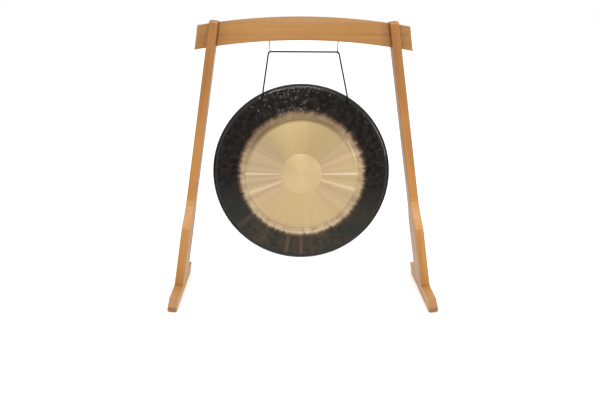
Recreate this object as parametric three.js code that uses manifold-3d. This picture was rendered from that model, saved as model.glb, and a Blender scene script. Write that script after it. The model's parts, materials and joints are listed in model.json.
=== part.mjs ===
// Tam tam gong hanging on a cord in an arched wooden stand that comes apart for transport.
// Millimetres, +Z up. The origin is on the floor under the middle of the stand; the front is -Y.
import * as THREE from "three";
import { mergeVertices } from "three/addons/utils/BufferGeometryUtils.js";
import Module from "manifold-3d";

const wasm = await Module();
wasm.setup();

// Driving dimensions
const GAP = 0.3; // clearance left between pieces that touch
const SIDES = [["left", -1], ["right", 1]];
const BEAM_Y = 38.5; // the plane of the crossbeam and hooks, behind the middle of the feet

const LEAN = 0.146; // sideways shift of a leg for each millimetre of height
const LEAN_ANGLE = Math.atan(LEAN);
const LEG_X = 575; // middle of a leg at floor level

const FOOT_LENGTH = 565;
const FOOT_WIDTH = 42;
const FOOT_HEIGHT = 53.6;
const FOOT_NOSE_LENGTH = 29;
const FOOT_NOSE_HEIGHT = 19.2;
const FOOT_EDGE = 4;

const PAD_HEIGHT = 2; // room under the foot's lower, inner edge
const PAD_RADIUS = 13;
const PAD_INSET = 30; // pad centre from the foot's end

// Heights along a leg, which stands square on its foot and leans with it
const FOOT_BASE = (PAD_HEIGHT + (FOOT_WIDTH / 2) * Math.sin(LEAN_ANGLE)) / Math.cos(LEAN_ANGLE);
const FOOT_TOP = FOOT_BASE + FOOT_HEIGHT;
const BRACE_STEP = 330; // below this a brace is as deep as at the foot
const BRACE_TIP = 470; // here its sweep runs out into the post
const POST_TOP = 1257;

const POST_WIDTH = 40;
const POST_HALF_DEPTH = 53.5;
const POST_EDGE = 5; // radius of the rounded long edges
const PRONG_CORNER = 10;
const BRACE_FRONT = 127; // brace faces, measured from the beam's plane
const BRACE_REAR = 90;

const BEAM_THICKNESS = 30;
const BEAM_HEIGHT = 103;
const BEAM_UNDERSIDE = 1161; // at mid span
const BEAM_RADIUS = 2660; // of the underside
const BEAM_HALF_LENGTH = 485; // along the underside
const BEAM_EDGE = 3;
const CROWN_LINE = 1238; // glue line under the crown board

const DOWEL_RADIUS = 5;
const DOWEL_LENGTH = 44;
const BOLT_OFFSET = 34; // bolts stand this far in front of and behind the beam's plane
const BOLT_RADIUS = 4;
const BOLT_HEAD_RADIUS = 6.5;
const BOLT_HEAD_HEIGHT = 8;
const BOLT_SOCKET_RADIUS = 3.46; // to the corners of the hexagon
const BOLT_SOCKET_DEPTH = 4;
const COUNTERBORE_RADIUS = 9.5;
const COUNTERBORE_DEPTH = 14;
const WASHER_THICKNESS = 1.6;
const WASHER_RADIUS = 8.5;
const INSERT_RADIUS = 6;
const INSERT_LENGTH = 22;
const INSERT_BASE = FOOT_TOP + 3;

const HOOK_X = 150;
const HOOK_WIRE_RADIUS = 2;
const HOOK_BOWL_RADIUS = 10; // to the middle of the wire
const HOOK_LEAN = HOOK_X / BEAM_RADIUS; // the shank is square to the arch, angle in radians
const HOOK_NECK = 16; // the shank is straight above this height over the bowl's centre
const HOOK_SHANK_TOP = 66; // end of the screwed shank over the bowl's centre
const HOOK_DROP = 6.2; // middle of the bowl's wire below the middle of the cord

const CORD_RADIUS = 2.5;
const CORD_SPAN_Z = 1110;
const CORD_CORNER_X = 156;
const CORD_BEND = 10; // bend radius over a hook
const CORD_HOLE_BEND = 6; // bend radius into a cord hole
const CORD_SPLIT = 0.8; // each end stops this far from the line on which the gong tilts
const KNOT_RADIUS = 8;
const CORD_TAIL = 12; // free end behind the knot

const GONG_RADIUS = 406.5;
const GONG_THICKNESS = 2.2;
const GONG_SHOULDER = 21; // radius of the rounded edge between face and rim
const GONG_APEX = 52.5; // the centre of the face stands this far in front of the widest circle
const GONG_FACE_POWER = 1.8;
const GONG_RIM_DEPTH = 55;
const GONG_RIM_TAPER = 9;
const HOLE_RADIUS = 4;
const HOLE_CIRCLE = 381.5;
const HOLE_HALF_ANGLE = THREE.MathUtils.degToRad(31);
const PIVOT_X = 9.5; // middle of the line on which the gong hangs
const PIVOT_Z = 893;
const GONG_ROLL = THREE.MathUtils.degToRad(2.8); // the left hole hangs a little higher
const GONG_TILT = THREE.MathUtils.degToRad(-1.39); // its balance swings the lower edge forward

// Materials
const wood = (hex) => new THREE.MeshStandardMaterial({ color: hex, roughness: 0.5, metalness: 0 });
const steel = () => new THREE.MeshStandardMaterial({ color: 0xb4b4b2, roughness: 0.3, metalness: 1 });
const cordBlack = () => new THREE.MeshStandardMaterial({ color: 0x17161a, roughness: 0.8, metalness: 0 });
const rubber = () => new THREE.MeshStandardMaterial({ color: 0x24221f, roughness: 0.9, metalness: 0 });
const bronze = () => new THREE.MeshStandardMaterial({ color: 0xd0b487, roughness: 0.35, metalness: 0.8 });

const model = new THREE.Group();

function add(name, geometry, material, parent = model) {
  const mesh = new THREE.Mesh(geometry, material);
  mesh.name = name;
  parent.add(mesh);
  return mesh;
}

// A closed geometry as a solid that can be cut and joined
function solid(geometry) {
  const bare = geometry.clone();
  bare.deleteAttribute("normal");
  bare.deleteAttribute("uv");
  const merged = mergeVertices(bare, 1e-3);
  return new wasm.Manifold(new wasm.Mesh({
    numProp: 3,
    vertProperties: new Float32Array(merged.attributes.position.array),
    triVerts: new Uint32Array(merged.index.array),
  }));
}

function geometryOf(manifold) {
  const mesh = manifold.getMesh();
  const geometry = new THREE.BufferGeometry();
  geometry.setAttribute("position", new THREE.BufferAttribute(mesh.vertProperties, 3));
  geometry.setIndex(new THREE.BufferAttribute(mesh.triVerts, 1));
  geometry.computeVertexNormals();
  return geometry;
}

function box(low, high) {
  const size = new THREE.Vector3().subVectors(high, low);
  const geometry = new THREE.BoxGeometry(size.x, size.y, size.z);
  const centre = new THREE.Vector3().addVectors(low, high).multiplyScalar(0.5);
  return geometry.translate(centre.x, centre.y, centre.z);
}

// A board with rounded edges, centred on the plane of its outline
function board(shape, thickness, edge, curveSegments = 8) {
  const geometry = new THREE.ExtrudeGeometry(shape, {
    depth: thickness - 2 * edge,
    bevelThickness: edge,
    bevelSize: edge,
    bevelOffset: -edge,
    bevelSegments: 3,
    curveSegments,
  });
  return geometry.translate(0, 0, edge - thickness / 2);
}

// The outline's x and y become Y and Z, and the thickness runs along X
const faceSideways = (geometry) => geometry.applyMatrix4(new THREE.Matrix4().makeBasis(
  new THREE.Vector3(0, 1, 0),
  new THREE.Vector3(0, 0, 1),
  new THREE.Vector3(1, 0, 0),
));

// The outline's x and y become X and Z, and the thickness runs along Y
const faceForward = (geometry) => geometry.rotateX(Math.PI / 2);

// A round piece about the Z axis, from [radius, height] pairs that start and end on the axis
function turned(profile, segments = 16) {
  const points = profile.map(([radius, height]) => new THREE.Vector2(radius, height));
  return new THREE.LatheGeometry(points, segments).rotateX(Math.PI / 2);
}

function rod(radius, low, high, segments) {
  return turned([[0, low], [radius, low], [radius, high], [0, high]], segments);
}

// A rod swept along a path
function sweep(path, radius, steps, sides = 8) {
  const section = new THREE.Shape();
  for (let i = 0; i < sides; i += 1) {
    const angle = (2 * Math.PI * i) / sides;
    const [x, y] = [radius * Math.cos(angle), radius * Math.sin(angle)];
    if (i === 0) section.moveTo(x, y);
    else section.lineTo(x, y);
  }
  return new THREE.ExtrudeGeometry(section, { steps, extrudePath: path, bevelEnabled: false });
}

// Crossbeam -----------------------------------------------------------------
const BEAM_CENTRE_Z = BEAM_UNDERSIDE - BEAM_RADIUS;

const arcHeight = (radius, x) => BEAM_CENTRE_Z + Math.sqrt(radius ** 2 - x ** 2);

// Region between two arcs about the arch's centre, with ends parallel to the posts
function archShape(lowRadius, highRadius) {
  const reach = (radius) => {
    let x = BEAM_HALF_LENGTH;
    const low = arcHeight(BEAM_RADIUS, BEAM_HALF_LENGTH);
    for (let i = 0; i < 4; i += 1) x = BEAM_HALF_LENGTH - LEAN * (arcHeight(radius, x) - low);
    return Math.asin(x / radius);
  };
  const up = Math.PI / 2;
  const [low, high] = [reach(lowRadius), reach(highRadius)];
  const shape = new THREE.Shape();
  shape.absarc(0, BEAM_CENTRE_Z, lowRadius, up + low, up - low, true);
  shape.absarc(0, BEAM_CENTRE_Z, highRadius, up - high, up + high, false);
  return shape;
}

// The space that the beam needs in the forks, open at the top
function forkSpace() {
  const shape = archShape(BEAM_RADIUS - GAP, BEAM_RADIUS + 3 * BEAM_HEIGHT);
  const depth = BEAM_THICKNESS + 2 * GAP;
  const geometry = new THREE.ExtrudeGeometry(shape, { depth, bevelEnabled: false, curveSegments: 24 });
  return solid(faceForward(geometry.translate(0, 0, -depth / 2)).translate(0, BEAM_Y, 0));
}

const legMiddleX = (z) => LEG_X - LEAN * z;
const dowelX = legMiddleX(arcHeight(BEAM_RADIUS, legMiddleX(POST_TOP)));
const dowelMiddleZ = arcHeight(BEAM_RADIUS, dowelX);

function dowelAt(side, radius, extra) {
  const half = DOWEL_LENGTH / 2 + extra;
  return rod(radius, -half, half).translate(side * dowelX, BEAM_Y, dowelMiddleZ);
}

// Hook path in its own YZ plane, the bowl's centre at the origin, open to the front
function hookPath() {
  const points = [HOOK_SHANK_TOP, 50, 34, HOOK_NECK + 5].map((z) => new THREE.Vector3(0, 0, z));
  points.push(new THREE.Vector3(0, 2.2, HOOK_NECK - 1), new THREE.Vector3(0, 6.6, HOOK_BOWL_RADIUS));
  for (let degrees = 20; degrees >= -200; degrees -= 20) {
    const angle = THREE.MathUtils.degToRad(degrees);
    const across = HOOK_BOWL_RADIUS * Math.cos(angle);
    points.push(new THREE.Vector3(0, across, HOOK_BOWL_RADIUS * Math.sin(angle)));
  }
  return new THREE.CatmullRomCurve3(points);
}

const hookBowlZ = CORD_SPAN_Z - HOOK_DROP + HOOK_BOWL_RADIUS;

function placeHook(geometry, side) {
  return geometry.rotateY(side * HOOK_LEAN).translate(side * HOOK_X, BEAM_Y, hookBowlZ);
}

function addBeam() {
  let beam = solid(faceForward(
    board(archShape(BEAM_RADIUS, BEAM_RADIUS + BEAM_HEIGHT), BEAM_THICKNESS, BEAM_EDGE, 20),
  ).translate(0, BEAM_Y, 0));
  for (const [, side] of SIDES) {
    const pilot = rod(HOOK_WIRE_RADIUS + GAP, 30, HOOK_SHANK_TOP + GAP, 12);
    beam = beam.subtract(solid(dowelAt(side, DOWEL_RADIUS + GAP, GAP)));
    beam = beam.subtract(solid(placeHook(pilot, side)));
  }
  const reach = new THREE.Vector3(2 * BEAM_HALF_LENGTH, BEAM_Y + BEAM_THICKNESS, 2 * POST_TOP);
  const back = reach.clone().negate();
  const crown = solid(box(new THREE.Vector3(back.x, back.y, CROWN_LINE + GAP / 2), reach));
  const main = solid(box(back, new THREE.Vector3(reach.x, reach.y, CROWN_LINE - GAP / 2)));
  add("beam", geometryOf(beam.intersect(main)), wood(0xcf9c5f));
  add("beam_crown", geometryOf(beam.intersect(crown)), wood(0xdcae74));
}

function addHooks() {
  for (const [name, side] of SIDES) {
    add(`hook_${name}`, placeHook(sweep(hookPath(), HOOK_WIRE_RADIUS, 36), side), steel());
  }
}

// Legs -------------------------------------------------------------------------
// Pieces of a leg are built upright about the Z axis, then lean inwards together
function leaned(geometry, side) {
  return geometry.rotateY(-side * LEAN_ANGLE).translate(side * LEG_X, 0, 0);
}

// Side view of a post with both braces glued on; its foot end is left long and is cut off later
function legShape() {
  const bottom = FOOT_TOP - 4 * POST_EDGE;
  const shoulder = BRACE_STEP + 60;
  const shape = new THREE.Shape();
  shape.moveTo(-BRACE_FRONT, bottom);
  shape.lineTo(BRACE_REAR, bottom);
  shape.lineTo(BRACE_REAR, BRACE_STEP);
  shape.quadraticCurveTo(POST_HALF_DEPTH, shoulder, POST_HALF_DEPTH, BRACE_TIP);
  shape.lineTo(POST_HALF_DEPTH, POST_TOP - PRONG_CORNER);
  shape.absarc(POST_HALF_DEPTH - PRONG_CORNER, POST_TOP - PRONG_CORNER, PRONG_CORNER, 0, Math.PI / 2);
  shape.absarc(PRONG_CORNER - POST_HALF_DEPTH, POST_TOP - PRONG_CORNER, PRONG_CORNER, Math.PI / 2, Math.PI);
  shape.lineTo(-POST_HALF_DEPTH, BRACE_TIP);
  shape.quadraticCurveTo(-POST_HALF_DEPTH, shoulder, -BRACE_FRONT, BRACE_STEP);
  return shape;
}

const boltYs = [["front", BEAM_Y - BOLT_OFFSET], ["rear", BEAM_Y + BOLT_OFFSET]];

function insertAt(y, clearance) {
  return rod(INSERT_RADIUS + clearance, 0, INSERT_LENGTH + clearance).translate(0, y, INSERT_BASE);
}

function addPosts() {
  const space = forkSpace();
  const above = (low, front, rear) => solid(box(
    new THREE.Vector3(-POST_WIDTH, front, low),
    new THREE.Vector3(POST_WIDTH, rear, 2 * POST_TOP),
  ));
  const [front, rear] = [BEAM_Y - 2 * BRACE_FRONT, BEAM_Y + 2 * BRACE_FRONT];
  const [frontSeam, rearSeam] = [BEAM_Y - POST_HALF_DEPTH, BEAM_Y + POST_HALF_DEPTH];
  const whole = solid(faceSideways(board(legShape(), POST_WIDTH, POST_EDGE, 6)).translate(0, BEAM_Y, 0));
  const cut = FOOT_TOP + GAP;
  let core = whole.intersect(above(cut, frontSeam, rearSeam));
  for (const [, y] of boltYs) {
    const boltHole = rod(BOLT_RADIUS + GAP, 0, INSERT_BASE + 1).translate(0, y, 0);
    core = core.subtract(solid(boltHole)).subtract(solid(insertAt(y, GAP)));
  }
  const frontBrace = whole.intersect(above(cut, front, frontSeam - GAP));
  const rearBrace = whole.intersect(above(cut, rearSeam + GAP, rear));
  for (const [name, side] of SIDES) {
    let post = solid(leaned(geometryOf(core), side)).subtract(space);
    post = post.subtract(solid(dowelAt(side, DOWEL_RADIUS + GAP, GAP)));
    add(`${name}_post`, geometryOf(post), wood(0xc98d52));
    add(`${name}_front_brace`, leaned(geometryOf(frontBrace), side), wood(0xcc9050));
    add(`${name}_rear_brace`, leaned(geometryOf(rearBrace), side), wood(0xcc9050));
    add(`${name}_beam_dowel`, dowelAt(side, DOWEL_RADIUS, 0), wood(0xd9b27c));
  }
}

// Feet with their bolts and pads ----------------------------------------------
function footShape() {
  const half = FOOT_LENGTH / 2;
  const shape = new THREE.Shape();
  shape.moveTo(-half, FOOT_BASE);
  shape.lineTo(half, FOOT_BASE);
  shape.lineTo(half, FOOT_TOP);
  shape.lineTo(FOOT_NOSE_LENGTH - half, FOOT_TOP);
  shape.lineTo(-half, FOOT_BASE + FOOT_NOSE_HEIGHT);
  return shape;
}

// Socket head bolt, its head down in the foot's counterbore
const headTop = FOOT_BASE + COUNTERBORE_DEPTH - WASHER_THICKNESS - 2 * GAP;
const headLow = headTop - BOLT_HEAD_HEIGHT;

function boltGeometry() {
  const tip = INSERT_BASE + INSERT_LENGTH - 4;
  const bolt = turned([
    [0, headLow],
    [BOLT_HEAD_RADIUS, headLow],
    [BOLT_HEAD_RADIUS, headTop],
    [BOLT_RADIUS, headTop],
    [BOLT_RADIUS, tip],
    [0, tip],
  ]);
  const socket = rod(BOLT_SOCKET_RADIUS, 0, headLow + BOLT_SOCKET_DEPTH, 6);
  return geometryOf(solid(bolt).subtract(solid(socket)));
}

const washerGeometry = () => turned([
  [BOLT_RADIUS + GAP, headTop + GAP],
  [WASHER_RADIUS, headTop + GAP],
  [WASHER_RADIUS, headTop + GAP + WASHER_THICKNESS],
  [BOLT_RADIUS + GAP, headTop + GAP + WASHER_THICKNESS],
  [BOLT_RADIUS + GAP, headTop + GAP],
]);

// Rubber pad, level underneath and bevelled to the leaning foot above
function padGeometry(side, y) {
  const pad = solid(rod(PAD_RADIUS, 0, 2 * PAD_RADIUS, 24).translate(side * LEG_X, y, 0));
  const footSpace = box(
    new THREE.Vector3(-2 * FOOT_WIDTH, -FOOT_LENGTH, FOOT_BASE - GAP),
    new THREE.Vector3(2 * FOOT_WIDTH, FOOT_LENGTH, FOOT_TOP),
  );
  return geometryOf(pad.subtract(solid(leaned(footSpace, side))));
}

function addFeet() {
  let foot = solid(faceSideways(board(footShape(), FOOT_WIDTH, FOOT_EDGE)));
  for (const [, y] of boltYs) {
    foot = foot.subtract(solid(rod(BOLT_RADIUS + GAP, 0, 2 * FOOT_TOP).translate(0, y, 0)));
    const counterbore = rod(COUNTERBORE_RADIUS, 0, FOOT_BASE + COUNTERBORE_DEPTH);
    foot = foot.subtract(solid(counterbore.translate(0, y, 0)));
  }
  for (const [name, side] of SIDES) {
    add(`${name}_foot`, leaned(geometryOf(foot), side), wood(0xd0954f));
    for (const [place, y] of boltYs) {
      add(`${name}_${place}_bolt`, leaned(boltGeometry().translate(0, y, 0), side), steel());
      add(`${name}_${place}_washer`, leaned(washerGeometry().translate(0, y, 0), side), steel());
      const bore = rod(BOLT_RADIUS + GAP, 0, 2 * FOOT_TOP).translate(0, y, 0);
      const insert = geometryOf(solid(insertAt(y, 0)).subtract(solid(bore)));
      add(`${name}_${place}_insert`, leaned(insert, side), steel());
    }
    for (const [place, end] of [["front", -1], ["rear", 1]]) {
      const padY = end * (FOOT_LENGTH / 2 - PAD_INSET);
      add(`${name}_${place}_pad`, padGeometry(side, padY), rubber());
    }
  }
}

// Gong, turned about its own Y axis: its widest circle lies at y = 0 and its face looks to -Y -----
function gongProfile(inset) {
  const faceEdge = THREE.MathUtils.degToRad(8.5); // slope where face and shoulder meet
  const arcRadius = GONG_SHOULDER - inset;
  const arcCentre = GONG_RADIUS - GONG_SHOULDER;
  const edgeRadius = arcCentre + arcRadius * Math.sin(faceEdge);
  const edgeY = -arcRadius * Math.cos(faceEdge);
  const apex = inset - GONG_APEX;
  const points = [];
  const faceSteps = 8;
  for (let i = 0; i < faceSteps; i += 1) {
    const t = i / faceSteps;
    points.push(new THREE.Vector2(edgeRadius * t, apex + (edgeY - apex) * t ** GONG_FACE_POWER));
  }
  const arcSteps = 4;
  for (let i = 0; i <= arcSteps; i += 1) {
    const angle = faceEdge + ((Math.PI / 2 - faceEdge) * i) / arcSteps;
    points.push(new THREE.Vector2(arcCentre + arcRadius * Math.sin(angle), -arcRadius * Math.cos(angle)));
  }
  points.push(new THREE.Vector2(GONG_RADIUS - inset - GONG_RIM_TAPER, GONG_RIM_DEPTH));
  return points;
}

const holeX = HOLE_CIRCLE * Math.sin(HOLE_HALF_ANGLE);
const holeZ = HOLE_CIRCLE * Math.cos(HOLE_HALF_ANGLE);

// Front surface of the face at the cord holes
function holeFaceY() {
  const profile = gongProfile(0);
  const next = profile.findIndex((point) => point.x > HOLE_CIRCLE);
  const [a, b] = [profile[next - 1], profile[next]];
  return a.y + ((b.y - a.y) * (HOLE_CIRCLE - a.x)) / (b.x - a.x);
}

// From the pivot line the cord bends back through its hole to a stopper knot
function cordEnd() {
  const bend = new THREE.QuadraticBezierCurve3(
    new THREE.Vector3(0, 0, -CORD_SPLIT),
    new THREE.Vector3(0, 0, -CORD_HOLE_BEND),
    new THREE.Vector3(0, CORD_HOLE_BEND, -CORD_HOLE_BEND),
  );
  const knotY = CORD_HOLE_BEND + GONG_THICKNESS + KNOT_RADIUS + 1;
  const through = new THREE.LineCurve3(
    new THREE.Vector3(0, CORD_HOLE_BEND, -CORD_HOLE_BEND),
    new THREE.Vector3(0, knotY + KNOT_RADIUS + CORD_TAIL, -CORD_HOLE_BEND),
  );
  const path = new THREE.CurvePath();
  path.add(bend);
  path.add(through);
  const knot = new THREE.SphereGeometry(KNOT_RADIUS, 12, 8).translate(0, knotY, -CORD_HOLE_BEND);
  return solid(sweep(path, CORD_RADIUS, 12)).add(solid(knot));
}

function addGong() {
  const outline = [...gongProfile(0), ...gongProfile(GONG_THICKNESS).reverse()];
  let gong = solid(new THREE.LatheGeometry(outline, 60));
  const hang = new THREE.Group();
  hang.position.set(PIVOT_X, BEAM_Y, PIVOT_Z);
  hang.rotation.set(GONG_TILT, GONG_ROLL, 0, "YXZ");
  for (const [name, side] of SIDES) {
    const drill = new THREE.CylinderGeometry(HOLE_RADIUS, HOLE_RADIUS, 4 * GONG_SHOULDER, 12);
    gong = gong.subtract(solid(drill.translate(side * holeX, -2 * GONG_SHOULDER, holeZ)));
    const end = add(`cord_end_${name}`, geometryOf(cordEnd()), cordBlack(), hang);
    end.position.x = side * holeX;
  }
  const mesh = add("gong", geometryOf(gong), bronze(), hang);
  mesh.position.set(0, CORD_HOLE_BEND - holeFaceY(), -CORD_HOLE_BEND - holeZ);
  model.add(hang);
}

// Cord from pivot to pivot over both hooks --------------------------------------
function addCord() {
  const path = new THREE.CurvePath();
  const pivot = (side) => new THREE.Vector3(
    PIVOT_X + side * holeX * Math.cos(GONG_ROLL),
    BEAM_Y,
    PIVOT_Z - side * holeX * Math.sin(GONG_ROLL),
  );
  const corner = (side) => new THREE.Vector3(side * CORD_CORNER_X, BEAM_Y, CORD_SPAN_Z);
  const stops = [pivot(-1), corner(-1), corner(1), pivot(1)];
  const towards = (from, to, distance) => to.clone().sub(from).setLength(distance).add(from);
  let start = towards(stops[0], stops[1], CORD_SPLIT);
  for (const i of [1, 2]) {
    const before = towards(stops[i], stops[i - 1], CORD_BEND);
    const after = towards(stops[i], stops[i + 1], CORD_BEND);
    path.add(new THREE.LineCurve3(start, before));
    path.add(new THREE.QuadraticBezierCurve3(before, stops[i], after));
    start = after;
  }
  path.add(new THREE.LineCurve3(start, towards(stops[3], stops[2], CORD_SPLIT)));
  add("cord", sweep(path, CORD_RADIUS, 80), cordBlack());
}

addBeam();
addHooks();
addPosts();
addFeet();
addCord();
addGong();

export default model;
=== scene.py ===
import json
import math

import bmesh
import bpy
import numpy as np
from mathutils import Matrix, Vector


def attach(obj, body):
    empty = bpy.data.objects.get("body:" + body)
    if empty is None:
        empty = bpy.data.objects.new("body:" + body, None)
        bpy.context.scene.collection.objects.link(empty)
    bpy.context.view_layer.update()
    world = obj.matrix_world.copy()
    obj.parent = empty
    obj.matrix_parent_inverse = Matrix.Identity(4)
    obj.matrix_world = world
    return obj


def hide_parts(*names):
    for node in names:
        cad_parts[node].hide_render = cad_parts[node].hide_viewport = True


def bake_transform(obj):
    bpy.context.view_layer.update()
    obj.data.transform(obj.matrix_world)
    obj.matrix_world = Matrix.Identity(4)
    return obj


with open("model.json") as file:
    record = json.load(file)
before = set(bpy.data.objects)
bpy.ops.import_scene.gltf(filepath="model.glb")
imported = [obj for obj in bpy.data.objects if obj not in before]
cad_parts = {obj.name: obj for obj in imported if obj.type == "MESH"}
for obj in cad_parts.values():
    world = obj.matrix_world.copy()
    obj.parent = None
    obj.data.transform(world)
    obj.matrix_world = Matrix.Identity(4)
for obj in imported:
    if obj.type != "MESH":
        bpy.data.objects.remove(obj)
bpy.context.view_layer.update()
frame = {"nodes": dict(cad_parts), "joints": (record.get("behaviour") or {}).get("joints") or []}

# Sizes in metres, as in the CAD model. The frame is X right, Y back, Z up.
JOINTS = {j["name"]: j for j in frame["joints"]}
PIVOT = Vector(JOINTS["gong_tilt"]["pos_m"])
TILT_AXIS = Vector(JOINTS["gong_tilt"]["axis"])
BEAM_Y = PIVOT.y

GONG_RADIUS = 0.4065
GONG_THICKNESS = 0.0022
GONG_SHOULDER = 0.021
GONG_APEX = 0.0525
GONG_FACE_POWER = 1.8
GONG_RIM_DEPTH = 0.055
GONG_RIM_TAPER = 0.009
GONG_TILT = math.radians(-1.39)
HOLE_RADIUS = 0.004
HOLE_CIRCLE = 0.3815
HOLE_HALF_ANGLE = math.radians(31)
HOLE_X = HOLE_CIRCLE * math.sin(HOLE_HALF_ANGLE)
HOLE_Z = HOLE_CIRCLE * math.cos(HOLE_HALF_ANGLE)
FACE_EDGE_SLOPE = math.radians(8.5)

CORD_RADIUS = 0.0035  # drawn thicker than the CAD cord
CORD_SPAN_Z = JOINTS["gong_swing"]["pos_m"][2]
CORD_CORNER_X = 0.156
CORD_BEND = 0.010
CORD_HOLE_BEND = 0.006
CORD_PITCH = 0.016  # length of one turn of the cord's strands
CORD_STRANDS = 3

HOOK_X = 0.150
HOOK_WIRE_RADIUS = 0.002
HOOK_BOWL_RADIUS = 0.010
HOOK_DROP = 0.0062
BEAM_ARC_RADIUS = 2.660

LEG_X = 0.575
LEG_LEAN = 0.146
POST_WIDTH = 0.040
BRACE_FOOT_Z = 0.0587  # underside of the braces, where they meet the foot

# Rings on the gong's face, as shares of its radius
DISC_EDGE = 0.2265  # rim of the smooth centre disc
BORDER_START = 0.64  # the hammered border begins outside this
GROOVE_SPACING = 0.0011  # between lathe grooves, in metres

CAMERA_PLACE = Vector((-0.0763, BEAM_Y - 3.84, 1.35))
CAMERA_PITCH = math.radians(13.44)
CAMERA_YAW = math.radians(0.961)
CAMERA_ROLL = math.radians(0.411)
CAMERA_LENS = 51.14
CAMERA_SENSOR = 36

SIDES = (("left", -1), ("right", 1))


# ---------------------------------------------------------------- mesh helpers
def mesh_object(name, vertices, faces):
    """A smooth-shaded object made of the given points and faces."""
    mesh = bpy.data.meshes.new(name)
    mesh.from_pydata([tuple(v) for v in vertices], [], faces)
    mesh.update()
    mesh.polygons.foreach_set("use_smooth", [True] * len(mesh.polygons))
    piece = bpy.data.objects.new(name, mesh)
    bpy.context.scene.collection.objects.link(piece)
    return piece


def apply_modifiers(piece):
    """Makes the modified mesh the piece's own."""
    graph = bpy.context.evaluated_depsgraph_get()
    made = bpy.data.meshes.new_from_object(piece.evaluated_get(graph))
    old = piece.data
    piece.modifiers.clear()
    piece.data = made
    bpy.data.meshes.remove(old)


def spline(points, step):
    """Even points, about step apart, on a Catmull-Rom curve through the given ones."""
    p = [Vector(q) for q in points]
    p = [p[0] * 2 - p[1], *p, p[-1] * 2 - p[-2]]
    dense = []
    for i in range(1, len(p) - 2):
        for k in range(24):
            t = k / 24
            a = 2 * p[i] + (p[i + 1] - p[i - 1]) * t
            b = (2 * p[i - 1] - 5 * p[i] + 4 * p[i + 1] - p[i + 2]) * t * t
            c = (3 * p[i] - p[i - 1] - 3 * p[i + 1] + p[i + 2]) * t**3
            dense.append((a + b + c) / 2)
    dense.append(p[-2])
    return even(dense, step)


def even(points, step):
    """Points about step apart along a line through the given ones."""
    xyz = np.array([tuple(q) for q in points])
    along = np.concatenate([[0], np.cumsum(np.linalg.norm(np.diff(xyz, axis=0), axis=1))])
    count = max(2, round(along[-1] / step)) + 1
    at = np.linspace(0, along[-1], count)
    return [Vector(np.interp(s, along, xyz[:, k]) for k in range(3)) for s in at]


def tube(name, points, radius_at, sides):
    """A closed rod along points. radius_at(i, angle) gives its radius; both ends are domed."""
    tangents = [(points[min(i + 1, len(points) - 1)] - points[max(i - 1, 0)]).normalized()
                for i in range(len(points))]
    normal = tangents[0].orthogonal().normalized()
    rings = []
    for i, (p, t) in enumerate(zip(points, tangents)):
        normal = (normal - t * normal.dot(t)).normalized()
        rings.append((p, t, normal.copy(), t.cross(normal)))
    radius = radius_at(0, 0)
    dome = [(0.35, 0.94), (0.75, 0.66), (0.95, 0.30)]
    first, last = rings[0], rings[-1]
    grown = [((first[0] - first[1] * radius * d, *first[1:]), s, 0) for d, s in reversed(dome)]
    grown += [(ring, 1, i) for i, ring in enumerate(rings)]
    grown += [((last[0] + last[1] * radius * d, *last[1:]), s, len(rings) - 1) for d, s in dome]
    vertices = []
    for (p, _, u, v), share, i in grown:
        for k in range(sides):
            angle = 2 * math.pi * k / sides
            r = radius_at(i, angle) * share
            vertices.append(p + (u * math.cos(angle) + v * math.sin(angle)) * r)
    faces = []
    for i in range(len(grown) - 1):
        for k in range(sides):
            j = (k + 1) % sides
            faces.append((i * sides + k, i * sides + j, (i + 1) * sides + j, (i + 1) * sides + k))
    faces.append(tuple(reversed(range(sides))))
    end = (len(grown) - 1) * sides
    faces.append(tuple(range(end, end + sides)))
    return mesh_object(name, vertices, faces)


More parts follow.
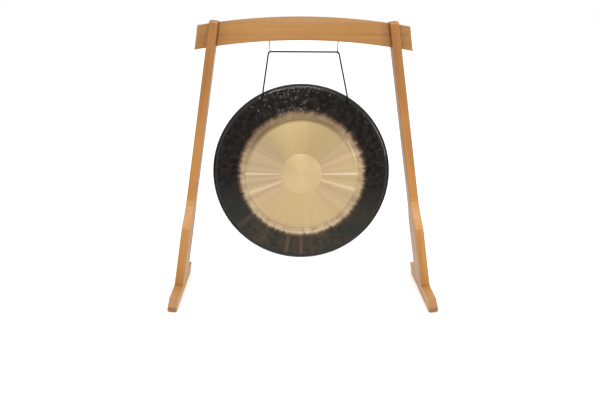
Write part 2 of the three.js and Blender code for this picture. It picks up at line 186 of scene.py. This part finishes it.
# ------------------------------------------------------------- material helpers
class Nodes:
    """Short names for the shader nodes used below."""

    def __init__(self, name):
        self.material = bpy.data.materials.new(name)
        self.material.use_nodes = True
        self.tree = self.material.node_tree
        self.shader = self.tree.nodes["Principled BSDF"]
        where = self.tree.nodes.new("ShaderNodeTexCoord")
        self.coordinates, self.normal = where.outputs["Object"], where.outputs["Normal"]

    def link(self, source, target):
        self.tree.links.new(source, target)

    def put(self, value, target):
        if isinstance(value, bpy.types.NodeSocket):
            self.link(value, target)
        else:
            target.default_value = value

    def math(self, operation, *values):
        node = self.tree.nodes.new("ShaderNodeMath")
        node.operation = operation
        for value, target in zip(values, node.inputs):
            self.put(value, target)
        return node.outputs[0]

    def vector(self, operation, *values):
        node = self.tree.nodes.new("ShaderNodeVectorMath")
        node.operation = operation
        for value, target in zip(values, node.inputs):
            self.put(value, target)
        return node.outputs["Value" if operation in ("LENGTH", "DOT_PRODUCT") else "Vector"]

    def split(self, source):
        node = self.tree.nodes.new("ShaderNodeSeparateXYZ")
        self.link(source, node.inputs[0])
        return node.outputs

    def spoke(self, direction, degrees, half_width):
        """A mask along one radius of the XZ plane; direction is the unit vector from the centre."""
        c, s = math.cos(math.radians(degrees)), math.sin(math.radians(degrees))
        off = self.math("ABSOLUTE", self.vector("DOT_PRODUCT", direction, (-s, 0, c)))
        side = self.math("GREATER_THAN", self.vector("DOT_PRODUCT", direction, (c, 0, s)), 0.0)
        return self.math("MULTIPLY", self.span(off, half_width, half_width * 0.3), side)

    def scaled(self, source, scale):
        return self.vector("MULTIPLY", source, scale)

    def turned(self, source, rotation):
        node = self.tree.nodes.new("ShaderNodeMapping")
        node.inputs["Rotation"].default_value = rotation
        self.link(source, node.inputs["Vector"])
        return node.outputs[0]

    def noise(self, source, scale, detail=3.0, roughness=0.5, distortion=0.0):
        node = self.tree.nodes.new("ShaderNodeTexNoise")
        self.link(source, node.inputs["Vector"])
        node.inputs["Scale"].default_value = scale
        node.inputs["Detail"].default_value = detail
        node.inputs["Roughness"].default_value = roughness
        node.inputs["Distortion"].default_value = distortion
        return node.outputs["Fac"]

    def span(self, value, low, high, to_low=0.0, to_high=1.0):
        """Goes smoothly from to_low to to_high as value goes from low to high, and stays there."""
        node = self.tree.nodes.new("ShaderNodeMapRange")
        node.interpolation_type = "SMOOTHSTEP"
        for v, target in zip((value, low, high, to_low, to_high), node.inputs):
            self.put(v, target)
        return node.outputs[0]

    def mix(self, factor, a, b, blend="MIX"):
        node = self.tree.nodes.new("ShaderNodeMix")
        node.data_type = "RGBA"
        node.blend_type = blend
        self.put(factor, node.inputs["Factor"])
        for value, target in ((a, node.inputs[6]), (b, node.inputs[7])):
            self.put((*value, 1) if isinstance(value, tuple) else value, target)
        return node.outputs[2]

    def bump(self, height, strength, distance, normal=None):
        node = self.tree.nodes.new("ShaderNodeBump")
        node.inputs["Strength"].default_value = strength
        node.inputs["Distance"].default_value = distance
        self.link(height, node.inputs["Height"])
        if normal is not None:
            self.link(normal, node.inputs["Normal"])
        return node.outputs[0]

    def finish(self, color, roughness, normal=None, **constants):
        """Fills the shader. constants name its other inputs, with _ for a space."""
        self.put(color, self.shader.inputs["Base Color"])
        self.put(roughness, self.shader.inputs["Roughness"])
        if normal is not None:
            self.link(normal, self.shader.inputs["Normal"])
        for key, value in constants.items():
            self.shader.inputs[key.replace("_", " ")].default_value = value
        return self.material


# -------------------------------------------------------------------- materials
def tinted(color, factors):
    return tuple(c * f for c, f in zip(color, factors))


def wood(name, light, dark, axis, seed, painted_joint_shade=None, shaded_from=None, end_from=0.80):
    """Varnished timber with its grain along axis. The joint mask function, given n, gives painted shade
    where parts meet, and the colour is darker above the height shaded_from. A slope cut across the grain
    gets a painted paler highlight; past end_from, the share by which it faces along the grain, it shows
    dark end grain."""
    n = Nodes(name)
    turn = Vector(axis).rotation_difference(Vector((1, 0, 0))).to_euler()
    along = n.turned(n.coordinates, turn)
    moved = n.vector("ADD", along, (seed * 3.1, seed * 1.7, seed * 0.9))
    figure = n.noise(n.scaled(moved, (0.8, 11, 11)), 1.0, 4, 0.55, 0.5)
    rings = n.noise(n.scaled(moved, (2.0, 62, 62)), 1.0, 3, 0.5, 0.2)
    pores = n.noise(n.scaled(moved, (40, 820, 820)), 1.0, 2, 0.5)
    blotch = n.noise(moved, 4.0, 2)
    tone = n.math("ADD", n.math("MULTIPLY", figure, 0.50), n.math("MULTIPLY", rings, 0.32))
    tone = n.math("ADD", tone, n.math("MULTIPLY", blotch, 0.25))
    color = n.mix(n.span(tone, 0.40, 0.70), light, dark)
    color = n.mix(n.span(rings, 0.60, 0.72, 0.0, 0.35), color, tuple(c * 0.80 for c in dark))
    color = n.mix(n.span(pores, 0.62, 0.75, 0.0, 0.30), color, tuple(c * 0.62 for c in dark))
    # the colour darkens towards the top, above the height shaded_from
    if shaded_from is not None:
        _, _, z = n.split(n.coordinates)
        shade = n.span(z, shaded_from, shaded_from + 0.9, 0.0, 1.0)
        color = n.mix(shade, color, (0.76, 0.72, 0.62), "MULTIPLY")
    grain = tuple(Vector(axis).normalized())
    facing = n.math("ABSOLUTE", n.vector("DOT_PRODUCT", n.normal, grain))
    # painted highlight: slopes cut across the grain are made paler, as if catching light
    sloped = n.span(facing, 0.08, 0.34, 0.0, 0.30)
    not_end = n.span(facing, end_from - 0.02, end_from + 0.10, 1.0, 0.0)
    painted_slope_highlight = n.math("MULTIPLY", sloped, not_end)
    color = n.mix(painted_slope_highlight, color, (0.42, 0.24, 0.10))
    end_light, end_dark = tinted(dark, (0.74, 0.78, 0.95)), tinted(dark, (0.50, 0.56, 0.78))
    end_grain = n.mix(n.span(pores, 0.35, 0.65), end_light, end_dark)
    color = n.mix(n.span(facing, end_from, end_from + 0.22), color, end_grain)
    # painted shade in the joints, from the joint mask function
    if painted_joint_shade is not None:
        color = n.mix(painted_joint_shade(n), color, tinted(dark, (0.44, 0.34, 0.20)))
    height = n.math("ADD", n.math("MULTIPLY", rings, 0.5), n.math("MULTIPLY", pores, 0.5))
    normal = n.bump(height, 0.10, 0.0004)
    rough = n.span(figure, 0.3, 0.7, 0.38, 0.5)
    return n.finish(color, rough, normal, Specular_IOR_Level=0.25)


def beam_painted_shade(n):
    """A painted shadow line on the beam where it goes into each post."""
    x, _, z = n.split(n.coordinates)
    inner = LEG_X - POST_WIDTH / 2 * math.sqrt(1 + LEG_LEAN**2)
    line = n.math("ADD", n.math("ABSOLUTE", x), n.math("MULTIPLY", z, LEG_LEAN))
    near = n.span(line, inner - 0.0065, inner - 0.0025, 0.0, 0.9)
    return n.math("MULTIPLY", near, n.span(line, inner + 0.004, inner + 0.008, 1.0, 0.0))


def foot_painted_shade(n):
    """Painted shade in the joint above the foot."""
    _, _, z = n.split(n.coordinates)
    return n.span(z, BRACE_FOOT_Z + 0.001, BRACE_FOOT_Z + 0.006, 0.3, 0.0)


def gong_material():
    """Bronze, bright and turned in the middle, black and hammered round it."""
    n = Nodes("gong_bronze")
    flat = n.scaled(n.coordinates, (1, 0, 1))
    radius = n.math("DIVIDE", n.vector("LENGTH", flat), GONG_RADIUS)
    direction = n.vector("NORMALIZE", flat)
    fine = n.noise(direction, 95, 3, 0.6)
    broad = n.noise(direction, 9, 3, 0.6)
    warmth = n.noise(direction, 1.6, 1)
    flame = n.noise(n.vector("ADD", n.scaled(direction, (14, 14, 14)), flat), 1.0, 4, 0.6)
    mottle = n.noise(n.coordinates, 48, 4, 0.66)
    cloud = n.noise(n.coordinates, 7, 3, 0.55)
    across, _, up = n.split(direction)

    # turned centre: bright bronze with short radial brush marks, with painted reflections that make it
    # yellower above and below
    streak = n.math("ADD", n.math("MULTIPLY", fine, 0.5), n.math("MULTIPLY", broad, 0.5))
    lathed = n.mix(n.span(streak, 0.38, 0.64), (0.284, 0.205, 0.119), (0.355, 0.266, 0.160))
    # painted reflection: darker and yellower above, lighter and yellower below
    lathed = n.mix(n.span(up, 0.35, 0.95, 0.0, 0.85), lathed, (0.262, 0.194, 0.092))
    lathed = n.mix(n.span(up, -0.35, -0.95, 0.0, 0.75), lathed, (0.345, 0.260, 0.128))
    lathed = n.mix(n.span(warmth, 0.42, 0.60, 0, 0.35), lathed, (0.330, 0.248, 0.120))
    lathed = n.mix(n.span(mottle, 0.55, 0.75, 0, 0.18), lathed, (0.25, 0.18, 0.10))
    # painted highlights: narrow bright radial streaks at the sides of the turned centre, fainter ones
    # below them
    for degrees, half_width, share in ((3, 0.032, 0.70), (183, 0.032, 0.70), (-14, 0.055, 0.42),
                                       (204, 0.055, 0.38)):
        painted_highlight_streak = n.math("MULTIPLY", n.spoke(direction, degrees, half_width), share)
        lathed = n.mix(painted_highlight_streak, lathed, (0.50, 0.405, 0.280))
    ticks = n.math("SINE", n.math("MULTIPLY", n.math("ARCTAN2", up, across), 165))
    scratches = n.math("MULTIPLY", n.span(ticks, 0.0, 0.9), n.span(radius, 0.575, 0.615))
    scratches = n.math("MULTIPLY", scratches, n.span(up, -0.70, -0.92, 0, 0.45))
    lathed = n.mix(scratches, lathed, (0.16, 0.11, 0.06))
    disc = n.mix(n.span(cloud, 0.35, 0.65), (0.345, 0.260, 0.133), (0.370, 0.281, 0.148))
    color = n.mix(n.span(radius, DISC_EDGE - 0.003, DISC_EDGE + 0.001), disc, lathed)

    # tan band where the black finish was turned away, then the black with its ragged inner edge
    ragged = n.math("ADD", n.math("MULTIPLY", flame, 0.080), n.math("MULTIPLY", fine, 0.028))
    wander = n.math("MULTIPLY", n.vector("DOT_PRODUCT", direction, (-0.50, 0, 0.85)), 0.012)
    edge = n.math("ADD", n.math("SUBTRACT", radius, ragged), wander)
    band = n.mix(n.span(broad, 0.35, 0.65), (0.23, 0.165, 0.10), (0.32, 0.24, 0.152))
    color = n.mix(n.span(radius, 0.628, 0.645), color, band)
    # painted highlight: the band outside the groove is lighter towards the bottom
    painted_ring_highlight = n.math("MULTIPLY", n.span(up, -0.3, -0.95, 0, 0.7), n.span(radius, 0.665, 0.69))
    color = n.mix(painted_ring_highlight, color, (0.42, 0.33, 0.22))
    # painted shade: the lip inside the groove, and the band past it, are darker towards the top
    painted_lip_shade = n.span(n.vector("DOT_PRODUCT", direction, (-0.25, 0, 0.97)), 0.05, 0.97, 0.0, 0.78)
    painted_lip_shade = n.math("MULTIPLY", painted_lip_shade, n.span(radius, 0.572, 0.622))
    painted_lip_shade = n.math("MULTIPLY", painted_lip_shade, n.span(radius, 0.632, 0.655, 1.0, 0.75))
    color = n.mix(painted_lip_shade, color, (0.070, 0.044, 0.022))
    brown = n.mix(n.span(fine, 0.4, 0.6), (0.062, 0.034, 0.018), (0.110, 0.066, 0.038))
    black = n.mix(n.span(mottle, 0.40, 0.64), (0.0012, 0.0008, 0.0005), (0.0088, 0.0058, 0.0033))
    # painted reflection of the floor: the black border is lighter towards the bottom, brown to green in
    # patches
    low = n.mix(n.span(cloud, 0.4, 0.6), (0.034, 0.026, 0.018), (0.018, 0.020, 0.015))
    low = n.mix(n.span(mottle, 0.42, 0.62, 0, 0.6), low, (0.007, 0.006, 0.004))
    black = n.mix(n.span(up, 0.0, -0.95, 0, 0.85), black, low)
    rust = n.math("MULTIPLY", n.span(n.noise(direction, 17, 2), 0.60, 0.72), n.span(cloud, 0.4, 0.7))
    black = n.mix(n.math("MULTIPLY", rust, 0.30), black, (0.055, 0.024, 0.013))
    runs = n.math("MULTIPLY", n.span(radius, 0.71, 0.75), n.span(radius, 0.975, 0.93))
    runs = n.math("MULTIPLY", runs, n.span(mottle, 0.35, 0.60, 0.35, 1.0))
    for degrees, half_width, share in ((-87, 0.034, 0.75), (-98, 0.040, 0.70), (-118, 0.050, 0.30),
                                       (-136, 0.060, 0.30)):
        run = n.math("MULTIPLY", n.spoke(direction, degrees, half_width), runs)
        black = n.mix(n.math("MULTIPLY", run, share), black, (0.070, 0.040, 0.026))
    color = n.mix(n.span(edge, 0.612, 0.660), color, brown)
    color = n.mix(n.span(edge, 0.630, 0.686), color, black)
    shoulder = n.span(radius, 0.945, 0.965)
    color = n.mix(shoulder, color, (0.026, 0.026, 0.025))

    dark = n.span(edge, 0.620, 0.672)
    metal = n.math("MAXIMUM", n.span(dark, 0, 1, 0.92, 0.0), n.math("MULTIPLY", shoulder, 0.9))
    n.link(metal, n.shader.inputs["Metallic"])
    rough = n.span(dark, 0, 1, 0.42, 0.17)
    rough = n.math("ADD", rough, n.math("MULTIPLY", n.math("SUBTRACT", mottle, 0.5), 0.12))
    rough = n.math("ADD", rough, n.span(radius, 0.970, 0.985, 0.0, 0.14))

    # lathe grooves run round the centre; hammer marks and grain roughen the black border
    groove = n.math("SINE", n.math("MULTIPLY", radius, 2 * math.pi * GONG_RADIUS / GROOVE_SPACING))
    grooves = n.math("MULTIPLY", groove, n.span(radius, 0.63, 0.64, 0.5, 0.0))
    disc_share = n.span(radius, DISC_EDGE - 0.003, DISC_EDGE + 0.001, 0.15, 1.0)
    grooves = n.math("MULTIPLY", grooves, disc_share)
    grain = n.math("MULTIPLY", n.noise(n.coordinates, 160, 3), n.span(dark, 0, 1, 0.05, 1.0))
    normal = n.bump(grain, 0.25, 0.0006, n.bump(grooves, 0.15, 0.0001))
    tangent = n.tree.nodes.new("ShaderNodeTangent")
    tangent.direction_type, tangent.axis = "RADIAL", "Y"
    n.link(tangent.outputs[0], n.shader.inputs["Tangent"])
    return n.finish(color, rough, normal, Specular_IOR_Level=0.10, Anisotropic=0.5,
                    Anisotropic_Rotation=0.25)


def cord_material():
    """Black laid cord."""
    n = Nodes("black_cord")
    fibre = n.noise(n.scaled(n.coordinates, (900, 900, 900)), 1.0, 3)
    color = n.mix(n.span(fibre, 0.35, 0.7), (0.0015, 0.0015, 0.0018), (0.0060, 0.0058, 0.0060))
    return n.finish(color, 0.62, n.bump(fibre, 0.4, 0.0002), Specular_IOR_Level=0.08)


def steel_material():
    """Zinc-plated steel of the bolts, washers and inserts."""
    n = Nodes("zinc_plated_steel")
    cloud = n.noise(n.coordinates, 260, 3)
    color = n.mix(n.span(cloud, 0.35, 0.65), (0.42, 0.42, 0.42), (0.60, 0.60, 0.59))
    return n.finish(color, n.span(cloud, 0.3, 0.7, 0.25, 0.42), n.bump(cloud, 0.1, 0.0002), Metallic=1.0)


def hook_material():
    """Dark plated steel of the screw hooks."""
    n = Nodes("dark_plated_steel")
    cloud = n.noise(n.coordinates, 300, 3)
    color = n.mix(n.span(cloud, 0.35, 0.65), (0.022, 0.022, 0.023), (0.040, 0.040, 0.040))
    return n.finish(color, n.span(cloud, 0.3, 0.7, 0.3, 0.45), n.bump(cloud, 0.1, 0.0002), Metallic=1.0)


def rubber_material():
    """Black rubber of the foot pads."""
    n = Nodes("pad_rubber")
    grain = n.noise(n.coordinates, 700, 3)
    color = n.mix(n.span(grain, 0.3, 0.7), (0.012, 0.011, 0.010), (0.028, 0.026, 0.024))
    return n.finish(color, 0.85, n.bump(grain, 0.3, 0.0003))


def floor_material():
    """Plain white studio floor."""
    n = Nodes("pale_floor")
    soft = n.noise(n.coordinates, 0.7, 2)
    return n.finish(n.mix(soft, (0.90, 0.90, 0.90), (0.93, 0.93, 0.93)), 0.9)


# ----------------------------------------------------------------------- gong
def face_edge_radius(inset):
    """Radius at which the face runs into the rounded shoulder."""
    return GONG_RADIUS - GONG_SHOULDER + (GONG_SHOULDER - inset) * math.sin(FACE_EDGE_SLOPE)


def face_height(r, inset):
    """Y of the face at radius r, as a smooth dome without its relief."""
    edge_radius = face_edge_radius(inset)
    edge_y = -(GONG_SHOULDER - inset) * math.cos(FACE_EDGE_SLOPE)
    apex = inset - GONG_APEX
    return apex + (edge_y - apex) * (r / edge_radius) ** GONG_FACE_POWER


def section(inset, face_radii, arc_steps):
    """Profile from the centre of the face, round the shoulder, to the rim's rear edge: (r, y) rows."""
    arc_radius = GONG_SHOULDER - inset
    rows = [(r, float(face_height(r, inset))) for r in face_radii]
    for i in range(arc_steps + 1):
        angle = FACE_EDGE_SLOPE + (math.pi / 2 - FACE_EDGE_SLOPE) * i / arc_steps
        centre = GONG_RADIUS - GONG_SHOULDER
        rows.append((centre + arc_radius * math.sin(angle), -arc_radius * math.cos(angle)))
    for i in range(1, 9):
        t = i / 8
        rows.append((GONG_RADIUS - inset - GONG_RIM_TAPER * t, GONG_RIM_DEPTH * t))
    return np.array(rows)


def ring_relief(r):
    """Turned details of the face, towards the player: disc edge, groove and the ridge outside it."""
    x = r / GONG_RADIUS
    lip = 0.0014 * np.exp(-(((x - 0.622) / 0.018) ** 2))
    groove = -0.0017 * np.exp(-(((x - 0.637) / 0.0055) ** 2))
    ridge = 0.0036 * np.exp(-(((x - 0.690) / np.where(x < 0.690, 0.026, 0.042)) ** 2))
    disc = 0.0003 / (1 + np.exp((x - DISC_EDGE) / 0.0012))
    disc_line = -0.0003 * np.exp(-(((x - DISC_EDGE) / 0.0030) ** 2))
    return lip + groove + ridge + disc + disc_line


def hammer_marks(x, z, r):
    """Round dents over the black border, at points on one ring of radius r; small ones by the edge."""
    rng = np.random.default_rng(11)
    depth = np.zeros_like(x)
    if r < BORDER_START * GONG_RADIUS:
        return depth
    for inner, outer, small, large, steepness, count in (
        (0.67, 0.965, 0.007, 0.013, 0.085, 1500),
        (0.925, 0.968, 0.0045, 0.007, 0.17, 420),
    ):
        for _ in range(count):
            at = GONG_RADIUS * math.sqrt(rng.uniform(inner**2, outer**2))
            angle = rng.uniform(0, 2 * math.pi)
            size = rng.uniform(small, large)
            strength = rng.uniform(0.35, 1.1) * steepness * size
            if abs(at - r) > 2.2 * size:
                continue
            dx = x - at * math.cos(angle)
            dz = z - at * math.sin(angle)
            q = (dx**2 + dz**2) / size**2
            depth -= strength * (1 - 0.5 * q) * np.exp(-q)
    return depth


def gong_matrix():
    """Hangs the gong from its cord holes, rolled and tilted as it balances."""
    roll = math.atan2(-TILT_AXIS.z, TILT_AXIS.x)
    turn = Matrix.Rotation(roll, 4, "Y") @ Matrix.Rotation(GONG_TILT, 4, "X")
    hole_y = float(face_height(HOLE_CIRCLE, 0))
    offset = Vector((0, CORD_HOLE_BEND - hole_y, -CORD_HOLE_BEND - HOLE_Z))
    return Matrix.Translation(PIVOT) @ turn @ Matrix.Translation(offset)


def gong_piece():
    """The dished shell with its relief, hammer marks and cord holes."""
    around = 660
    edge = face_edge_radius(0)
    radii = np.concatenate([
        np.linspace(0.008, 0.086, 14),
        np.linspace(0.088, 0.097, 12),
        np.linspace(0.101, 0.242, 30),
        np.linspace(0.244, 0.280, 34),
        np.linspace(0.2835, edge - 0.002, 52),
    ])
    front = section(0, radii, 12)
    back = section(GONG_THICKNESS, radii[::4], 6)[::-1]
    angles = np.linspace(0, 2 * math.pi, around, endpoint=False)
    vertices = [(0.0, float(-GONG_APEX - ring_relief(np.array(0.0))), 0.0)]
    for r, y in front:
        x, z = r * np.cos(angles), r * np.sin(angles)
        relief = ring_relief(np.full(around, r)) * (r < edge)
        fade = np.clip((0.985 * GONG_RADIUS - r) / (0.03 * GONG_RADIUS), 0, 1)
        lift = relief + hammer_marks(x, z, r) * fade
        vertices += list(zip(x, y - lift, z))
    for r, y in back:
        x, z = r * np.cos(angles), r * np.sin(angles)
        vertices += list(zip(x, np.full(around, y), z))
    rows = len(front) + len(back)
    vertices.append((0.0, GONG_THICKNESS - GONG_APEX, 0.0))
    faces = []
    for k in range(around):
        j = (k + 1) % around
        faces.append((0, 1 + k, 1 + j))
        for i in range(rows - 1):
            a, b = 1 + i * around, 1 + (i + 1) * around
            faces.append((a + k, b + k, b + j, a + j))
        last = 1 + (rows - 1) * around
        faces.append((last + k, len(vertices) - 1, last + j))
    piece = mesh_object("gong_shell", vertices, faces)
    piece.matrix_world = gong_matrix()
    drill_holes(piece)
    return piece


def drill_holes(piece):
    """Two cord holes through the face near its upper edge."""
    bpy.context.view_layer.update()
    drills = []
    for _, side in SIDES:
        bm = bmesh.new()
        bmesh.ops.create_cone(bm, cap_ends=True, segments=32, radius1=HOLE_RADIUS,
                              radius2=HOLE_RADIUS, depth=0.03,
                              matrix=Matrix.Rotation(math.pi / 2, 4, "X"))
        mesh = bpy.data.meshes.new("drill")
        bm.to_mesh(mesh)
        bm.free()
        drill = bpy.data.objects.new("drill", mesh)
        bpy.context.scene.collection.objects.link(drill)
        drill.matrix_world = piece.matrix_world @ Matrix.Translation((side * HOLE_X, -0.020, HOLE_Z))
        cut = piece.modifiers.new("hole", "BOOLEAN")
        cut.operation, cut.solver, cut.object = "DIFFERENCE", "EXACT", drill
        drills.append(drill)
    bpy.context.view_layer.update()
    apply_modifiers(piece)
    for drill in drills:
        bpy.data.objects.remove(drill)


# ----------------------------------------------------------------------- cord
def pivot_point(side):
    """Where the cord meets the tilting line, at one cord hole."""
    return PIVOT + TILT_AXIS.normalized() * side * HOLE_X


def arc_corner(before, corner, after, radius):
    """Points that round off a corner."""
    a = corner + (before - corner).normalized() * radius
    b = corner + (after - corner).normalized() * radius
    return [a * (1 - t) ** 2 + corner * 2 * t * (1 - t) + b * t * t for t in np.linspace(0, 1, 9)]


def cord_points():
    """From behind the left hole, over both hooks, to behind the right hole."""
    turn = gong_matrix().to_3x3()
    back, down = turn @ Vector((0, 1, 0)), turn @ Vector((0, 0, -1))
    corners = {side: Vector((side * CORD_CORNER_X, BEAM_Y, CORD_SPAN_Z)) for side in (-1, 1)}
    ends = {}
    for side in (-1, 1):
        pivot = pivot_point(side)
        knee = pivot + down * CORD_HOLE_BEND
        knot = knee + back * 0.016
        ends[side] = [knot, *arc_corner(knot, knee, corners[side], CORD_HOLE_BEND)]
    left = arc_corner(pivot_point(-1), corners[-1], corners[1], CORD_BEND)
    right = arc_corner(corners[-1], corners[1], pivot_point(1), CORD_BEND)
    return [*ends[-1], *left, *right, *reversed(ends[1])]


def laid_radius(step):
    """Radius of a laid rope: strands that wind round its length."""
    def radius_at(i, angle):
        wave = abs(math.cos(CORD_STRANDS * (angle - 2 * math.pi * i * step / CORD_PITCH) / 2))
        return CORD_RADIUS * (0.88 + 0.20 * wave**0.7)
    return radius_at


def cord_piece():
    """The cord, held by the hanger and bending where it meets the gong."""
    step = 0.0012
    points = even(cord_points(), step)
    piece = tube("hanging_cord", points, laid_radius(step), 18)
    up = TILT_AXIS.cross(Vector((0, 1, 0))).normalized()
    up = up if up.z > 0 else -up
    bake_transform(piece)
    return piece


def knot_points():
    """An overhand knot pulled round the cord, in gong directions: back is +Y."""
    points = [(0, -0.001, 0), (0, 0.001, 0)]
    for k in range(40):
        t = 2 * math.pi * (0.04 + 0.92 * k / 39)
        x = (math.sin(t) + 2 * math.sin(2 * t)) * 0.0019
        z = (math.cos(t) - 2 * math.cos(2 * t)) * 0.0019
        points.append((x, 0.0075 - 0.0032 * math.sin(3 * t), z))
    points += [(0.0015, 0.0140, 0.001), (0.003, 0.021, -0.001)]
    return points


def knot_piece(name, side):
    """The stopper knot and tail behind one cord hole."""
    matrix = gong_matrix()
    hole = Vector((side * HOLE_X, float(face_height(HOLE_CIRCLE, 0)) + GONG_THICKNESS, HOLE_Z))
    points = [matrix @ (hole + Vector(p)) for p in knot_points()]
    step = 0.0010
    return tube(f"cord_knot_{name}", spline(points, step), laid_radius(step), 16)


# ---------------------------------------------------------------------- hooks
def hook_piece(name, side):
    """A screw hook: shank into the beam, bowl open to the front."""
    bowl_z = CORD_SPAN_Z - HOOK_DROP + HOOK_BOWL_RADIUS
    points = [(0, 0, z) for z in (0.066, 0.050, 0.034, 0.021)]
    points += [(0, 0.0022, 0.015), (0, 0.0066, 0.010)]
    for degrees in range(20, -201, -20):
        angle = math.radians(degrees)
        points.append((0, HOOK_BOWL_RADIUS * math.cos(angle), HOOK_BOWL_RADIUS * math.sin(angle)))
    place = Matrix.Translation((side * HOOK_X, BEAM_Y, bowl_z))
    place = place @ Matrix.Rotation(side * HOOK_X / BEAM_ARC_RADIUS, 4, "Y")
    path = spline([place @ Vector(p) for p in points], 0.0012)

    def radius_at(i, angle):
        return HOOK_WIRE_RADIUS

    return tube(f"screw_hook_{name}", path, radius_at, 20)


# ------------------------------------------------------------------- the object
def dress(node, material):
    """Gives a CAD piece its material."""
    piece = frame["nodes"][node]
    piece.data.materials.clear()
    piece.data.materials.append(material)


def build_wood():
    """Posts, braces, feet, beam and dowels."""
    for index, (name, side) in enumerate(SIDES):
        up_leg = (-side * LEG_LEAN, 0, 1)
        post = wood(f"post_wood_{name}", (0.2566, 0.1147, 0.0264), (0.2020, 0.0801, 0.0155),
                    up_leg, 1 + index, shaded_from=0.35)
        brace = wood(f"brace_wood_{name}", (0.2723, 0.1270, 0.0313), (0.2171, 0.0920, 0.0193),
                     up_leg, 4 + index, foot_painted_shade)
        foot = wood(f"foot_wood_{name}", (0.3201, 0.1571, 0.0466), (0.2541, 0.1145, 0.0301),
                    (0, 1, 0), 7 + index, end_from=0.64)
        dress(f"{name}_post", post)
        dress(f"{name}_front_brace", brace)
        dress(f"{name}_rear_brace", brace)
        dress(f"{name}_foot", foot)
    beam = wood("beam_wood", (0.2184, 0.1028, 0.0255), (0.1693, 0.0728, 0.0141),
                (1, 0, 0), 11, beam_painted_shade)
    crown = wood("crown_wood", (0.2134, 0.1086, 0.0377), (0.1766, 0.0828, 0.0258), (1, 0, 0), 13)
    dress("beam", beam)
    dress("beam_crown", crown)
    dowel = wood("dowel_wood", (0.34, 0.20, 0.10), (0.28, 0.15, 0.07), (1, 0, 0), 17)
    for name, _ in SIDES:
        dress(f"{name}_beam_dowel", dowel)


def build_hardware():
    """Pads, bolts, washers, inserts and the two screw hooks."""
    steel, dark_steel, rubber = steel_material(), hook_material(), rubber_material()
    for name, side in SIDES:
        for end in ("front", "rear"):
            dress(f"{name}_{end}_pad", rubber)
            for kind in ("bolt", "washer", "insert"):
                dress(f"{name}_{end}_{kind}", steel)
        hook = hook_piece(name, side)
        hook.data.materials.append(dark_steel)
        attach(hook, "crossbeam")
        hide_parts(f"hook_{name}")


def build_gong():
    """The gong, the cord it hangs on and the knots behind it."""
    gong = gong_piece()
    gong.data.materials.append(gong_material())
    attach(gong, "gong")
    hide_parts("gong")
    black = cord_material()
    cord = cord_piece()
    cord.data.materials.append(black)
    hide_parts("cord")
    for name, side in SIDES:
        knot = knot_piece(name, side)
        knot.data.materials.append(black)
        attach(knot, "gong")
        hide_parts(f"cord_end_{name}")


# ------------------------------------------------------------------------ stage
def build_stage():
    """A white floor, and a white surround that lights the object more than the camera sees."""
    floor = mesh_object("floor", [(-30, -30, 0), (30, -30, 0), (30, 30, 0), (-30, 30, 0)],
                        [(0, 1, 2, 3)])
    floor.data.materials.append(floor_material())
    world = bpy.data.worlds.new("studio")
    world.use_nodes = True
    bpy.context.scene.world = world
    tree = world.node_tree
    sky = tree.nodes["Background"]
    seen = tree.nodes.new("ShaderNodeLightPath").outputs["Is Camera Ray"]
    power = tree.nodes.new("ShaderNodeMapRange")
    tree.links.new(seen, power.inputs["Value"])
    power.inputs["To Min"].default_value = 1.45
    power.inputs["To Max"].default_value = 1.0
    tree.links.new(power.outputs[0], sky.inputs["Strength"])
    sky.inputs["Color"].default_value = (1, 1, 1, 1)


def area_light(name, place, target, size, power):
    """A rectangular lamp at place, facing target."""
    data = bpy.data.lights.new(name, "AREA")
    data.shape = "RECTANGLE"
    data.size, data.size_y = size
    data.energy = power
    light = bpy.data.objects.new(name, data)
    bpy.context.scene.collection.objects.link(light)
    light.location = place
    light.rotation_euler = (Vector(target) - Vector(place)).to_track_quat("-Z", "Y").to_euler()


def build_lights():
    """Softboxes at both sides and above, and small lamps that glint on the hammer marks."""
    middle = (0, 0, 0.6)
    area_light("left_softbox", (-3.2, -2.6, 1.4), middle, (1.0, 1.6), 10)
    area_light("right_softbox", (3.2, -2.6, 1.4), middle, (1.0, 1.6), 62)
    area_light("front_softbox", (0, -2.4, 3.2), middle, (2.4, 1.0), 35)
    for name, place, power in (("left", (-0.7, -2.2, 2.3), 13), ("right", (0.25, -2.2, 2.5), 13),
                               ("low", (-0.2, -2.4, 1.75), 7)):
        area_light(f"{name}_spot", place, middle, (0.09, 0.09), power)


def build_camera():
    """The photographer's view, a little above the beam's height."""
    level = Vector((math.sin(CAMERA_YAW), math.cos(CAMERA_YAW), 0)) * math.cos(CAMERA_PITCH)
    ahead = level - Vector((0, 0, math.sin(CAMERA_PITCH)))
    across = Vector((math.cos(CAMERA_YAW), -math.sin(CAMERA_YAW), 0))
    upright = across.cross(ahead)
    right = across * math.cos(CAMERA_ROLL) + upright * math.sin(CAMERA_ROLL)
    up = upright * math.cos(CAMERA_ROLL) - across * math.sin(CAMERA_ROLL)
    camera = bpy.data.objects.new("camera", bpy.data.cameras.new("camera"))
    camera.data.lens = CAMERA_LENS
    camera.data.sensor_width = CAMERA_SENSOR
    camera.matrix_world = Matrix((
        (right.x, up.x, -ahead.x, CAMERA_PLACE.x),
        (right.y, up.y, -ahead.y, CAMERA_PLACE.y),
        (right.z, up.z, -ahead.z, CAMERA_PLACE.z),
        (0, 0, 0, 1),
    ))
    bpy.context.scene.collection.objects.link(camera)
    bpy.context.scene.camera = camera


build_camera()
build_gong()
build_wood()
build_hardware()
build_stage()
build_lights()
bpy.context.scene.view_settings.view_transform = "Standard"
